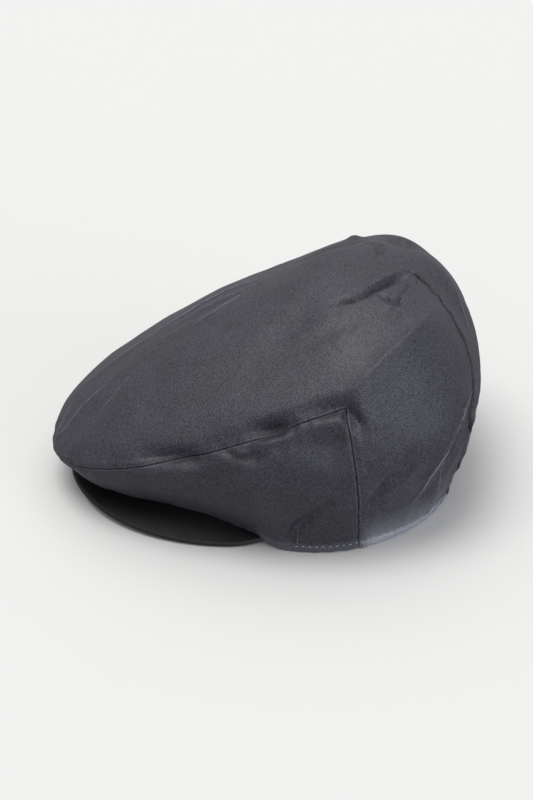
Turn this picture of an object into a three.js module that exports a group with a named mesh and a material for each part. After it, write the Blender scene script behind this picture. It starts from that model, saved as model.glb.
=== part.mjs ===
// A waxed flat cap: a one-piece top panel that runs from the front over the crown and down the back,
// two wedge-shaped side panels, and a stiff curved peak under the crown's rolled front edge.
// Millimetres, +Z up, the peak points to -Y, the wearer's left is +X.
import * as THREE from 'three';

// Cloth, seams and mesh steps
const WALL = 2.0;
const SEAM_GAP = 0.3;
const ANGLE_STEP = 5;
const SIDE_STEPS = 8;
const TOP_STEPS = 12;

// Where the hem starts to come down off the peak, and where it has reached the floor
const OVER_PEAK_ANGLE = 66;
const HEM_FLAT_ANGLE = 82;

// Apex of the crown, and how fast the top falls towards the front there
const APEX = { y: -10.7, z: 133.5, slope: 0.42 };

// Angle of the upright seam behind each side panel
const REAR_SEAM_ANGLE = 110;

// Crown sections every 20 degrees, from the front (0) to the back (180), alike on both sides.
// hemR, hemZ: the lower edge, round the crown axis; in front it stands on the peak.
// shoulderR, shoulderZ: where the side turns into the top, which is the long side seam up to its corner.
// flare: how far the hem leans out; lean: how far the shoulder leans in.
// sideFull, topFull: how round each stretch is.
const SECTION_STEP = 20;
const SECTION_COLUMNS = [
  'angle', 'hemR', 'hemZ', 'shoulderR', 'shoulderZ', 'flare', 'lean', 'sideFull', 'topFull',
];
const CROWN_SECTIONS = [
  [0, 128, 13.8, 146.5, 21, 90, -26, 1.25, 0.57],
  [20, 118.5, 12.6, 138.5, 33.5, 80, -8, 1.1, 0.43],
  [40, 94, 13.1, 117.5, 51, 62, 6, 1.04, 0.5],
  [60, 84.5, 8.6, 101, 68, 33, 20, 1.1, 0.7],
  [80, 86.5, 5.6, 95, 84.5, 9, 34, 1.18, 0.74],
  [100, 88, 0, 95.5, 99, 10, 38, 1.06, 0.8],
  [120, 87, 0, 101, 110, 12, 42, 1.04, 1.03],
  [140, 86, 0, 105, 115.5, 17, 45, 1.27, 1.13],
  [160, 85, 0, 100, 116.5, 17, 34, 1.33, 1.14],
  [180, 84.5, 0, 95, 116.5, 10, 34, 1.56, 1.23],
];

// Dents and puffs in the cloth, from one point of the crown to another.
// Angle 0 is the front and 90 the left side; level 0 is the hem, 1 the shoulder, 2 the apex.
// width is the whole width and depth the most that the cloth goes in, or out where it is negative.
const FOLDS = [
  { name: 'hollow over the front of the side seam', from: [44, 1.22], to: [60, 1.07], width: 28, depth: 2.6 },
  { name: 'hollow over the middle of the side seam', from: [73, 1.2], to: [91, 1.06], width: 27, depth: 3.2 },
  { name: 'hollow in front of the seam corner', from: [95, 1.2], to: [107, 1.08], width: 24, depth: 3.2 },
  { name: 'puff under the side seam', from: [45, 0.93], to: [58, 0.84], width: 24, depth: -2.2 },
  { name: 'dent behind the seam corner', from: [114, 1.07], to: [117, 0.86], width: 24, depth: 3.4 },
  { name: 'top fold, front half', from: [121, 1.67], to: [147, 1.55], width: 17, depth: 2.6 },
  { name: 'top fold, back half', from: [147, 1.55], to: [174, 1.3], width: 17, depth: 2.8 },
  { name: 'soft fold over the left flank', from: [88, 1.48], to: [138, 1.46], width: 22, depth: 1.4 },
  { name: 'dent beside the right corner', from: [-137, 1.4], to: [-158, 1.46], width: 18, depth: 2.6 },
  { name: 'sag along the right shoulder', from: [-66, 1.42], to: [-106, 1.36], width: 52, depth: 2.4 },
  { name: 'crease behind the right roll', from: [-97, 1.72], to: [-136, 1.5], width: 18, depth: 1.8 },
  { name: 'rear fold down the left flank', from: [161, 0.72], to: [132, 0.14], width: 20, depth: 2.4 },
  { name: 'rear fold down the right flank', from: [-158, 0.78], to: [-137, 0.2], width: 20, depth: 2.0 },
  { name: 'low fold behind the upright seam', from: [127, 0.6], to: [114, 0.27], width: 19, depth: 1.8 },
  { name: 'low fold at the left temple', from: [84, 0.16], to: [103, 0.36], width: 20, depth: 1.8 },
  { name: 'hollow over the right side seam', from: [-70, 1.2], to: [-96, 1.08], width: 27, depth: 2.6 },
  { name: 'dent behind the right corner', from: [-115, 1.06], to: [-119, 0.84], width: 24, depth: 3.0 },
  { name: 'low fold at the right temple', from: [-82, 0.2], to: [-101, 0.4], width: 20, depth: 1.8 },
];

// Peak: plan outline round its own centre, inner edge on the head opening, and section.
// The outline's turn runs past the widest point, so each end tucks in under the hem.
const PEAK = {
  halfWidth: 83.5,
  centreY: -48,
  front: 99.7,
  back: 60,
  outerTurn: 115,
  innerSide: 76,
  innerFront: 103,
  innerTurn: 80,
  thickness: 3.5,
  camber: 6.5,
  innerRise: 7,
  riseFades: [0.54, 1.02],
  edgeInset: 1.2,
  steps: 40,
  widthSteps: 5,
};

const CROWN_COLOUR = 0x4c4b53;
const SIDE_COLOUR = 0x46454d;
const PEAK_COLOUR = 0x1f1f22;

const radians = THREE.MathUtils.degToRad;

function hermite(start, startSlope, end, endSlope, u) {
  const u2 = u * u;
  const u3 = u2 * u;
  return (2 * u3 - 3 * u2 + 1) * start + (u3 - 2 * u2 + u) * startSlope
    + (3 * u2 - 2 * u3) * end + (u3 - u2) * endSlope;
}

// One column of the section table at any angle: a Catmull-Rom curve through the mirrored rows.
function sectionValue(angle, name) {
  const column = SECTION_COLUMNS.indexOf(name);
  const last = CROWN_SECTIONS.length - 1;
  const around = 2 * last;
  const place = THREE.MathUtils.euclideanModulo(angle / SECTION_STEP, around);
  const row = Math.floor(place);
  const f = place - row;
  const at = (k) => {
    const index = THREE.MathUtils.euclideanModulo(row + k, around);
    return CROWN_SECTIONS[index <= last ? index : around - index][column];
  };
  return 0.5 * (2 * at(0) + (at(1) - at(-1)) * f
    + (2 * at(-1) - 5 * at(0) + 4 * at(1) - at(2)) * f * f
    + (3 * at(0) - at(-1) - 3 * at(1) + at(2)) * f * f * f);
}

// Underside of the peak along its outer edge: a board bent about the line from back to front.
function peakBottom(x) {
  return PEAK.camber * (1 - (x / PEAK.halfWidth) ** 2);
}

// The crown's lower edge lies on the floor behind the peak, and on the peak in front.
function hemPoint(angle) {
  const onFloor = THREE.MathUtils.smoothstep(Math.abs(angle), OVER_PEAK_ANGLE, HEM_FLAT_ANGLE);
  return { radius: sectionValue(angle, 'hemR'), height: sectionValue(angle, 'hemZ') * (1 - onFloor) };
}

// A point of the smooth crown: level 0 to 1 climbs the side, 1 to 2 crosses the top to the apex.
function crownPoint(angle, level) {
  const turn = radians(angle);
  const hem = hemPoint(angle);
  const shoulderR = sectionValue(angle, 'shoulderR');
  const shoulderZ = sectionValue(angle, 'shoulderZ');
  const flare = radians(sectionValue(angle, 'flare'));
  const lean = radians(sectionValue(angle, 'lean'));
  let radius;
  let height;
  if (level <= 1) {
    const reach = Math.hypot(shoulderR - hem.radius, shoulderZ - hem.height);
    const pull = reach * sectionValue(angle, 'sideFull');
    radius = hermite(hem.radius, pull * Math.sin(flare), shoulderR, -pull * Math.sin(lean), level);
    height = hermite(hem.height, pull * Math.cos(flare), shoulderZ, pull * Math.cos(lean), level);
  } else {
    const pull = shoulderR * sectionValue(angle, 'topFull');
    const apexRise = shoulderR * APEX.slope * Math.cos(turn);
    radius = hermite(shoulderR, -pull * Math.sin(lean), 0, -shoulderR, level - 1);
    height = hermite(shoulderZ, pull * Math.cos(lean), APEX.z, apexRise, level - 1);
  }
  const axisY = APEX.y * THREE.MathUtils.smoothstep(level, 0, 1);
  return new THREE.Vector3(radius * Math.sin(turn), axisY - radius * Math.cos(turn), height);
}

function crownNormal(angle, level) {
  if (level >= 2) {
    return new THREE.Vector3(0, -APEX.slope, 1).normalize();
  }
  const dAngle = 0.5;
  const dLevel = 0.004;
  const low = Math.max(level - dLevel, 0);
  const high = Math.min(level + dLevel, 1.996);
  const across = crownPoint(angle + dAngle, level).sub(crownPoint(angle - dAngle, level));
  const up = crownPoint(angle, high).sub(crownPoint(angle, low));
  return across.cross(up).normalize();
}

const FOLD_LINES = FOLDS.map((fold) => ({
  line: new THREE.Line3(crownPoint(...fold.from), crownPoint(...fold.to)),
  reach: fold.width / 2,
  depth: fold.depth,
}));

// How far the cloth is pushed in at a point of the smooth crown.
function foldDepth(point) {
  const nearest = new THREE.Vector3();
  let depth = 0;
  for (const fold of FOLD_LINES) {
    fold.line.closestPointToPoint(point, true, nearest);
    const off = Math.min(nearest.distanceTo(point) / fold.reach, 1);
    depth += fold.depth * Math.cos(off * Math.PI / 2) ** 2;
  }
  return depth;
}

// Outer and inner surface points of the wall. At the hem the wall ends level, or square to the
// cloth where it turns out over the peak.
function wallPoints(angle, level) {
  const smooth = crownPoint(angle, level);
  const normal = crownNormal(angle, level);
  const outer = smooth.clone();
  if (level > 0) {
    outer.addScaledVector(normal, -foldDepth(smooth));
  }
  const inner = outer.clone().addScaledVector(normal, -WALL);
  if (level === 0) {
    const square = THREE.MathUtils.smoothstep(sectionValue(angle, 'flare'), 25, 60);
    inner.z = THREE.MathUtils.lerp(outer.z, inner.z, square);
  }
  return { outer, inner };
}

// Moves a grid point off a seam by half the seam gap, along the angle or the level.
function offSeam(angle, level, angleSign, levelSign) {
  const here = crownPoint(angle, level);
  let a = angle;
  let l = level;
  if (angleSign !== 0) {
    const perDegree = crownPoint(angle + 1, level).distanceTo(here);
    a += angleSign * SEAM_GAP / 2 / perDegree;
  }
  if (levelSign !== 0) {
    const small = 0.01 * levelSign;
    const perLevel = crownPoint(angle, level + small).distanceTo(here) / 0.01;
    l += levelSign * SEAM_GAP / 2 / perLevel;
  }
  return wallPoints(a, l);
}

// A closed wall over a patch of the crown grid. faces holds loops of corner names, turning left
// seen from outside, and corner(name) gives the two surface points of a corner.
function wallGeometry(faces, corner) {
  const positions = [];
  const numbers = new Map();
  const number = (name) => {
    if (!numbers.has(name)) {
      const { outer, inner } = corner(name);
      numbers.set(name, positions.length / 3);
      positions.push(...outer.toArray(), ...inner.toArray());
    }
    return numbers.get(name);
  };
  const index = [];
  const edges = new Set();
  for (const face of faces) {
    const loop = face.map(number);
    for (let k = 1; k < loop.length - 1; k += 1) {
      index.push(loop[0], loop[k], loop[k + 1]);
      index.push(loop[0] + 1, loop[k + 1] + 1, loop[k] + 1);
    }
    loop.forEach((from, k) => edges.add(`${from},${loop[(k + 1) % loop.length]}`));
  }
  for (const edge of edges) {
    const [from, to] = edge.split(',').map(Number);
    if (!edges.has(`${to},${from}`)) {
      index.push(to, from, from + 1);
      index.push(to, from + 1, to + 1);
    }
  }
  const geometry = new THREE.BufferGeometry();
  geometry.setAttribute('position', new THREE.Float32BufferAttribute(positions, 3));
  geometry.setIndex(index);
  geometry.computeVertexNormals();
  return geometry;
}

const LEVEL_STEPS = SIDE_STEPS + TOP_STEPS;
const ANGLE_STEPS = 360 / ANGLE_STEP;

function levelOf(step) {
  return step <= SIDE_STEPS ? step / SIDE_STEPS : 1 + (step - SIDE_STEPS) / TOP_STEPS;
}

function gridFace(column, step) {
  const next = (column + 1) % ANGLE_STEPS;
  if (step === LEVEL_STEPS - 1) {
    return [`${column},${step}`, `${next},${step}`, 'apex'];
  }
  return [`${column},${step}`, `${next},${step}`, `${next},${step + 1}`, `${column},${step + 1}`];
}

// Top panel: everything above the side seam, and the back between the two upright seams.
function topPanel() {
  const faces = [];
  for (let column = 0; column < ANGLE_STEPS; column += 1) {
    const angle = column * ANGLE_STEP;
    const behind = angle >= REAR_SEAM_ANGLE && angle < 360 - REAR_SEAM_ANGLE;
    for (let step = behind ? 0 : SIDE_STEPS; step < LEVEL_STEPS; step += 1) {
      faces.push(gridFace(column, step));
    }
  }
  return wallGeometry(faces, (name) => {
    if (name === 'apex') {
      return wallPoints(0, 2);
    }
    const [column, step] = name.split(',').map(Number);
    const angle = column * ANGLE_STEP > 180 ? column * ANGLE_STEP - 360 : column * ANGLE_STEP;
    const onUpright = Math.abs(angle) === REAR_SEAM_ANGLE && step <= SIDE_STEPS;
    const onSide = Math.abs(angle) <= REAR_SEAM_ANGLE && step === SIDE_STEPS;
    return offSeam(angle, levelOf(step), onUpright ? Math.sign(angle) : 0, onSide ? 1 : 0);
  });
}

// Side panel: between the hem or peak and the side seam, from the centre front to the upright seam.
function sidePanel(side) {
  const faces = [];
  const first = side > 0 ? 0 : -REAR_SEAM_ANGLE / ANGLE_STEP;
  for (let k = 0; k < REAR_SEAM_ANGLE / ANGLE_STEP; k += 1) {
    for (let step = 0; step < SIDE_STEPS; step += 1) {
      const column = first + k;
      faces.push([
        `${column},${step}`, `${column + 1},${step}`,
        `${column + 1},${step + 1}`, `${column},${step + 1}`,
      ]);
    }
  }
  return wallGeometry(faces, (name) => {
    const [column, step] = name.split(',').map(Number);
    const angle = column * ANGLE_STEP;
    let angleSign = 0;
    if (angle === 0) {
      angleSign = side;
    } else if (Math.abs(angle) === REAR_SEAM_ANGLE) {
      angleSign = -side;
    }
    return offSeam(angle, levelOf(step), angleSign, step === SIDE_STEPS ? -1 : 0);
  });
}

function peakOuter(turn) {
  const along = Math.cos(turn) > 0 ? PEAK.front : PEAK.back;
  return new THREE.Vector2(PEAK.halfWidth * Math.sin(turn), PEAK.centreY - along * Math.cos(turn));
}

function peakInner(turn) {
  return new THREE.Vector2(PEAK.innerSide * Math.sin(turn), -PEAK.innerFront * Math.cos(turn));
}

// Peak: a crescent board, with its edges eased by a small bevel, swept from the right end to the left.
// It rises towards its inner edge, where the crown is sewn to it, and that rise fades out at both ends.
function peak() {
  const positions = [];
  const index = [];
  const rise = PEAK.thickness;
  const ring = [];
  for (let k = 0; k <= PEAK.widthSteps; k += 1) {
    ring.push({ across: k / PEAK.widthSteps, height: 0 });
  }
  ring.push({ across: 1, out: 1, height: rise / 2 });
  for (let k = PEAK.widthSteps; k >= 0; k -= 1) {
    ring.push({ across: k / PEAK.widthSteps, height: rise });
  }
  ring.push({ across: 0, out: -1, height: rise / 2 });
  for (let k = 0; k <= PEAK.steps; k += 1) {
    const u = 2 * k / PEAK.steps - 1;
    const outer = peakOuter(radians(PEAK.outerTurn) * u);
    const inner = peakInner(radians(PEAK.innerTurn) * u);
    const width = outer.distanceTo(inner);
    const inset = PEAK.edgeInset / width;
    const innerRise = PEAK.innerRise * (1 - THREE.MathUtils.smoothstep(Math.abs(u), ...PEAK.riseFades));
    for (const { across, out = 0, height } of ring) {
      const flat = inner.clone().lerp(outer, inset + (1 - 2 * inset) * across + inset * out);
      positions.push(flat.x, flat.y, peakBottom(flat.x) + innerRise * (1 - across) + height);
    }
  }
  const count = ring.length;
  for (let k = 0; k < PEAK.steps; k += 1) {
    for (let m = 0; m < count; m += 1) {
      const a = k * count + m;
      const b = k * count + (m + 1) % count;
      index.push(a, b + count, b);
      index.push(a, a + count, b + count);
    }
  }
  const lastRing = PEAK.steps * count;
  for (let m = 1; m < count - 1; m += 1) {
    index.push(0, m, m + 1);
    index.push(lastRing, lastRing + m + 1, lastRing + m);
  }
  const geometry = new THREE.BufferGeometry();
  geometry.setAttribute('position', new THREE.Float32BufferAttribute(positions, 3));
  geometry.setIndex(index);
  geometry.computeVertexNormals();
  return geometry;
}

function piece(name, geometry, color, roughness) {
  const material = new THREE.MeshStandardMaterial({ color, roughness, metalness: 0 });
  const mesh = new THREE.Mesh(geometry, material);
  mesh.name = name;
  return mesh;
}

const cap = new THREE.Group();
cap.add(piece('top_panel', topPanel(), CROWN_COLOUR, 0.5));
cap.add(piece('side_panel_left', sidePanel(1), SIDE_COLOUR, 0.5));
cap.add(piece('side_panel_right', sidePanel(-1), SIDE_COLOUR, 0.5));
cap.add(piece('peak', peak(), PEAK_COLOUR, 0.6));

// Origin on the floor under the middle of the cap.
const bounds = new THREE.Box3().setFromObject(cap);
const middle = bounds.getCenter(new THREE.Vector3());
cap.position.set(-middle.x, -middle.y, -bounds.min.z);

export default cap;
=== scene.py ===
"""Dresses the flat cap's frame: waxed cotton panels with seams, folds and stitching, and a stiff peak."""

import math
from typing import NamedTuple

import bpy
import numpy as np
from bpy.props import FloatProperty, FloatVectorProperty, PointerProperty
from mathutils import Matrix, Vector, noise


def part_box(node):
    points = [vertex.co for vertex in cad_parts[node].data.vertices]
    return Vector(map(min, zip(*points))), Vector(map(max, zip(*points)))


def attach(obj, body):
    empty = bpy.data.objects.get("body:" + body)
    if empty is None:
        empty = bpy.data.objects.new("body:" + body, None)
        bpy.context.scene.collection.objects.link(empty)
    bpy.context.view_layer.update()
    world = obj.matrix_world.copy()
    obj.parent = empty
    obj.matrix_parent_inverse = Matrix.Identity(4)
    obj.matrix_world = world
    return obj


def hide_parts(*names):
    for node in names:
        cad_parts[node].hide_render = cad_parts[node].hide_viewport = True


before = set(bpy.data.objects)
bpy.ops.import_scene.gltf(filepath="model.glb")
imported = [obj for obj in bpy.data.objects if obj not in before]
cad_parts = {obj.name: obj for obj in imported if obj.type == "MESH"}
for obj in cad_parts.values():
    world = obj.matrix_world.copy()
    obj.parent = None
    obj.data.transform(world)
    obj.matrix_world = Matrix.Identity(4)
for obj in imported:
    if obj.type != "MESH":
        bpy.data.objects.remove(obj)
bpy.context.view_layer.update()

bl_info = {
    "name": "Waxed Flat Cap",
    "version": (1, 0, 0),
    "blender": (4, 5, 0),
    "location": "3D View > Sidebar > Flat Cap",
    "description": "Dresses a flat cap's frame in waxed cotton with seams, folds and stitching",
    "category": "Add Mesh",
}

# Sizes are metres and degrees. Angle 0 is the front of the cap, 90 the wearer's left, 180 the back.
# Level 0 is the hem, 1 the shoulder where the side turns into the top, 2 the apex.
MM = 0.001


class Section(NamedTuple):
    """The crown at one angle. The hem and the shoulder each have a radius and a height. Flare is how far
    the side leans out from upright at the hem, and lean how far it leans in at the shoulder, in degrees.
    The last two say how full the side and the top are between their ends."""

    angle: float
    hem_r: float
    hem_z: float
    shoulder_r: float
    shoulder_z: float
    flare: float
    lean: float
    side_full: float
    top_full: float


SECTION_STEP = 20
CROWN_SECTIONS = (
    Section(0, 0.128, 0.0138, 0.1465, 0.021, 90, -26, 1.25, 0.57),
    Section(20, 0.1185, 0.0126, 0.1385, 0.0335, 80, -8, 1.1, 0.43),
    Section(40, 0.094, 0.0131, 0.1175, 0.051, 62, 6, 1.04, 0.5),
    Section(60, 0.0845, 0.0086, 0.101, 0.068, 33, 20, 1.1, 0.7),
    Section(80, 0.0865, 0.0056, 0.095, 0.0845, 9, 34, 1.18, 0.74),
    Section(100, 0.088, 0.0, 0.0955, 0.099, 10, 38, 1.06, 0.8),
    Section(120, 0.087, 0.0, 0.101, 0.11, 12, 42, 1.04, 1.03),
    Section(140, 0.086, 0.0, 0.105, 0.1155, 17, 45, 1.27, 1.13),
    Section(160, 0.085, 0.0, 0.1, 0.1165, 17, 34, 1.33, 1.14),
    Section(180, 0.0845, 0.0, 0.095, 0.1165, 10, 34, 1.56, 1.23),
)

# Where the hem starts to come down off the peak, and where it has reached the floor
OVER_PEAK_ANGLE = 66
HEM_FLAT_ANGLE = 82

# The top's middle: how far it stands from the crown's axis, its height, and its slope towards the front
APEX_Y = -0.0107
APEX_Z = 0.1335
APEX_SLOPE = 0.42

# Seams: the upright ones behind the side panels, and the dart down the middle of the back
REAR_SEAM_ANGLE = 110
BACK_DART_TOP = 1.27
SEAM_GAP = 0.0003
WALL = 0.002

# Peak: the outer edge is an ellipse's front with its ends drawn in, the inner edge a second one's.
PEAK_HALF_WIDTH = 0.0835
PEAK_CENTRE_Y = -0.048
PEAK_FRONT = 0.0997
PEAK_BACK = 0.060
PEAK_OUTER_TURN = 115
PEAK_INNER_SIDE = 0.076
PEAK_INNER_FRONT = 0.103
PEAK_INNER_TURN = 80
PEAK_THICKNESS = 0.0035
PEAK_CAMBER = 0.0065
PEAK_INNER_RISE = 0.007
PEAK_RISE_FADES = (0.54, 1.02)
# How pale the peak's outer edge is along its lower half: a painted highlight, for the light the rounded
# edge catches
RIM_PAINTED_HIGHLIGHT = 0.4
PEAK_STEPS_ROUND, PEAK_STEPS_ACROSS, PEAK_STEPS_EDGE = 240, 40, 12

# The crown axis stands behind the middle of the cap, by as much as the frame's peak shows.
AXIS_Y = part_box("peak")[0].y - (PEAK_CENTRE_Y - PEAK_FRONT)


class Fold(NamedTuple):
    """A fold along a route of (angle, level) points. Width and rise are millimetres, and a negative rise
    is a hollow. Skew leans it to one side, and line is the strength of the pale line that wax leaves."""

    name: str
    route: tuple
    width: float
    rise: float
    skew: float = 0
    line: float = 0


# The ridge's route, which more than one fold takes, and the longest of the others
SEAM_GROOVE_ROUTE = ((56, 1.04), (70, 1.03), (82, 1.03), (95, 1.03), (110, 1.02))
RIDGE_ROUTE = ((112, 1.04), (120, 1.11), (128, 1.15), (138, 1.18), (148, 1.19), (158, 1.18))
FAR_ROLL_ROUTE = (
    (-17, 1.45),
    (-17, 1.52),
    (-21, 1.58),
    (-28, 1.6),
    (-37, 1.62),
    (-46, 1.65),
    (-55, 1.71),
)
LONG_CREASE_ROUTE = (
    (166, 0.72),
    (151, 0.7),
    (144, 0.61),
    (138, 0.49),
    (135, 0.38),
    (133, 0.26),
    (129, 0.08),
)
FAR_CREASE_ROUTE = ((170, 0.63), (159, 0.6), (154, 0.47), (155, 0.3), (154, 0.15))
TOP_CREASE_ROUTE = (
    (127, 1.64),
    (131, 1.61),
    (137, 1.575),
    (144, 1.535),
    (151, 1.515),
    (160, 1.5),
    (170, 1.43),
    (179, 1.36),
)

# The dents and puffs of the whole cap, most of them in the frame too
BROAD_FOLDS = (
    Fold("groove along the side seam", SEAM_GROOVE_ROUTE, 19, -3.2),
    Fold("hollow over the front of the side seam", ((42, 1.08), (51, 1.05), (60, 0.98)), 18, -7.4),
    Fold("hollow over the middle of the side seam", ((77, 1.07), (90, 1.03)), 18, -7.0),
    Fold("hollow in front of the seam corner", ((98, 1.05), (111, 1.01)), 18, -5.0),
    Fold("puff under the side seam", ((47, 0.86), (60, 0.8)), 24, 1.4),
    Fold("dent behind the seam corner", ((110, 1.01), (114, 0.84)), 16, -7.4),
    Fold("top fold, front half", ((131, 1.61), (139, 1.565), (151, 1.515)), 9, -2.6, 0.4),
    Fold("top fold, back half", ((148, 1.55), (160, 1.5), (170, 1.43), (181, 1.34)), 11, -3.2, 0.4),
    Fold("soft fold over the left flank", ((88, 1.5), (103, 1.49), (124, 1.46), (143, 1.44)), 17, -1.2),
    Fold("swell right of the dart", ((-158, 1.17), (-172, 0.95)), 32, 1.6),
    Fold("flat behind the far corner", ((-134, 1.33), (-150, 1.21)), 24, -2.6),
    Fold("dent beside the right corner", ((-141, 1.42), (-152, 1.47), (-161, 1.5)), 9, -3.0),
    Fold("sag along the right shoulder", ((-66, 1.42), (-106, 1.36)), 52, -2.4),
    Fold("crease behind the right roll", ((-97, 1.72), (-136, 1.5)), 18, -1.8),
    Fold("rear fold down the left flank", ((161, 0.72), (132, 0.14)), 20, -2.4),
    Fold("rear fold down the right flank", ((-158, 0.78), (-137, 0.2)), 20, -2.0),
    Fold("low fold behind the upright seam", ((127, 0.6), (114, 0.27)), 19, -1.8),
    Fold("low fold at the left temple", ((84, 0.16), (103, 0.36)), 20, -1.8),
    Fold("groove along the right side seam", ((-60, 1.04), (-84, 1.03), (-109, 1.02)), 20, -3.0),
    Fold("hollow over the right side seam", ((-72, 1.09), (-86, 1.05)), 19, -2.4),
    Fold("dent behind the right corner", ((-110, 1.02), (-115, 0.84)), 19, -3.6),
    Fold("low fold at the right temple", ((-82, 0.2), (-101, 0.4)), 20, -1.8),
    Fold("ridge from the seam corner to the dart", RIDGE_ROUTE, 30, 4.2, -0.25),
    Fold("edge of that ridge", RIDGE_ROUTE, 9, 1.8),
    Fold("slack of the left flank", ((116, 0.86), (134, 0.86), (152, 0.88)), 84, -5.2),
    Fold("ridge from the right corner", tuple((-a, t) for a, t in RIDGE_ROUTE), 30, 2.8, 0.25),
    Fold("dent under the middle of the side seam", ((75, 0.93), (81, 0.89)), 16, -3.2),
    Fold("swell over the tip of the peak", ((-8, 0.5), (6, 0.5), (22, 0.42)), 13, 3.2),
    Fold("far corner of the crown", ((-119, 1.41), (-125, 1.36)), 13, 2.2),
    Fold("hollow under the seam corner", ((91, 0.85), (103, 0.8), (107, 0.7)), 36, -4.4),
    Fold("valley left of the top", ((72, 1.54), (87, 1.62), (101, 1.68), (122, 1.72)), 34, -1.6),
)

# The creases and small dents that only show here
FINE_FOLDS = (
    Fold("front crease, out", ((5, 1.08), (6, 1.13), (4, 1.2), (-1, 1.26)), 6, 0.5, 0.3, 0.5),
    Fold("front crease, in", ((7, 1.08), (8, 1.19), (7, 1.26), (5, 1.36), (3, 1.44)), 7, 0.5, 0.3, 0.4),
    Fold("front crease, short", ((14, 1.33), (13, 1.38), (8, 1.48)), 5, 0.4, 0, 0.3),
    Fold("hollow between the front creases", ((1, 1.1), (0, 1.18)), 7, -0.8),
    Fold("roll over the front", ((-4, 1.2), (-7, 1.36), (-12, 1.48), (-18, 1.6)), 14, 0.8, 0, 0.3),
    # The right roll's pale lines are partly cracked wax and partly painted sheen, the light along the top's
    # far edge
    Fold("right roll, first line", FAR_ROLL_ROUTE, 7, 0.9, 0.3, 0.9),
    Fold("right roll, second line", ((-3, 1.68), (-7, 1.74), (-19, 1.78), (-47, 1.77)), 7, 0.6, 0, 0.6),
    Fold("right roll, third line", ((-14, 1.6), (-22, 1.67), (-32, 1.74), (-52, 1.78)), 6, 0.4, 0, 0.3),
    Fold("hollow under the right roll", ((-8, 1.6), (-18, 1.7), (-34, 1.78)), 9, -1.0),
    Fold("far corner line", ((-120, 1.65), (-126, 1.6), (-135, 1.55), (-135, 1.45)), 6, 0.6, 0, 0.7),
    Fold("ridge by the top fold", ((150, 1.6), (167, 1.51), (178, 1.43), (186, 1.35)), 11, 1.8, 0, 0.1),
    Fold("crease in the top fold", TOP_CREASE_ROUTE, 6, -2.0, 0.5),
    Fold("hook off the top fold", ((155, 1.46), (153, 1.4), (155, 1.36), (159, 1.355)), 6, -3.0, -0.4),
    Fold("hook's tail", ((160, 1.36), (166, 1.34), (174, 1.31)), 9, -1.7, -0.3),
    Fold("swell under the hook", ((147, 1.38), (160, 1.4)), 10, 1.2),
    Fold("curl at the head of the dart", ((172, 1.38), (180, 1.34), (188, 1.28)), 5, 0.5, 0, 0.25),
    Fold("small fold off the top fold", ((128, 1.6), (122, 1.52), (112, 1.5)), 8, -0.5),
    Fold("rear crease, long", LONG_CREASE_ROUTE, 7, 1.5, 0.5, 0.7),
    Fold("rear crease, far", FAR_CREASE_ROUTE, 7, 1.2, 0.4, 0.2),
    Fold("band between rear creases", ((147, 0.64), (141, 0.53), (140, 0.36), (143, 0.2)), 8, -2.2, 0.2),
    Fold("pleat in the hem", ((141, 0.42), (143, 0.22), (144, 0.0)), 13, 1.9, -0.75, 0.5),
    Fold("pleat at the dart's foot", ((160, 0.4), (160, 0.2), (160, 0.0)), 13, 1.7, -0.75, 0.4),
    Fold("pleat, right side", ((-146, 0.36), (-149, 0.2), (-150, 0.0)), 12, 1.5, 0.7, 0.5),
    Fold("pleat, right side, second", ((-166, 0.3), (-166, 0.0)), 11, 1.2, 0.6, 0.4),
    Fold("fold into the upright seam", ((122, 0.47), (117, 0.35), (111, 0.24)), 11, -3.4),
    Fold("dent on the flank", ((128, 0.6), (126, 0.47), (123, 0.42)), 9, -0.9),
    Fold("line on the flank", ((134, 0.58), (128, 0.44), (128, 0.38)), 5, 0.4, 0, 0.1),
    Fold("streak under the side seam", ((67, 1.0), (72, 0.9), (79, 0.84)), 9, -2.2),
    Fold("streak under the side seam, second", ((76, 0.98), (79, 0.91), (86, 0.86)), 8, 0.9),
    Fold("fold under the side seam", ((72, 0.84), (82, 0.88), (92, 0.9)), 13, -1.9),
    Fold("hollow under the puff", ((48, 0.68), (62, 0.76), (74, 0.78)), 16, -2.2),
    Fold("fold up from the temple", ((82, 0.05), (88, 0.22), (97, 0.36), (105, 0.45)), 11, -3.4, -0.2),
    Fold("pleat at the temple", ((86, 0.02), (87, 0.16)), 5, 0.8, 0, 0.3),
    Fold("pinch over the side seam", ((60, 1.05), (73, 1.04)), 9, -0.8),
    Fold("pinch over the side seam, second", ((78, 1.1), (92, 1.02)), 9, -0.8),
    Fold("line behind the dart", ((202, 1.14), (192, 0.99), (184, 0.89), (181, 0.76)), 6, 0.7, 0.3, 0.45),
    Fold("line behind the dart, low", ((178, 0.62), (174, 0.42), (171, 0.24)), 6, 0.7, 0.3, 0.3),
    Fold("right rear crease", ((-160, 0.8), (-150, 0.62), (-143, 0.4), (-141, 0.18)), 8, 1.1, 0.4, 0.35),
    Fold("right flank fold", ((-121, 0.5), (-116, 0.32), (-112, 0.2)), 10, -1.1),
    Fold("right temple fold", ((-78, 0.06), (-90, 0.22), (-100, 0.3)), 9, -1.0),
    Fold("right pinch over the side seam", ((-55, 1.06), (-68, 1.04)), 10, -0.9),
    Fold("right fold under the side seam", ((-70, 0.86), (-86, 0.88)), 12, -1.2),
    Fold("crease over the right side", ((-60, 1.3), (-84, 1.34), (-104, 1.3)), 8, 0.7, 0.2, 0.5),
)


def smoothstep(x, low, high):
    u = np.clip((x - low) / (high - low), 0, 1)
    return u * u * (3 - 2 * u)


def hermite(start, start_slope, end, end_slope, u):
    """A cubic curve from start to end with the given slopes."""
    return (
        (2 * u**3 - 3 * u**2 + 1) * start
        + (u**3 - 2 * u**2 + u) * start_slope
        + (3 * u**2 - 2 * u**3) * end
        + (u**3 - u**2) * end_slope
    )


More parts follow.
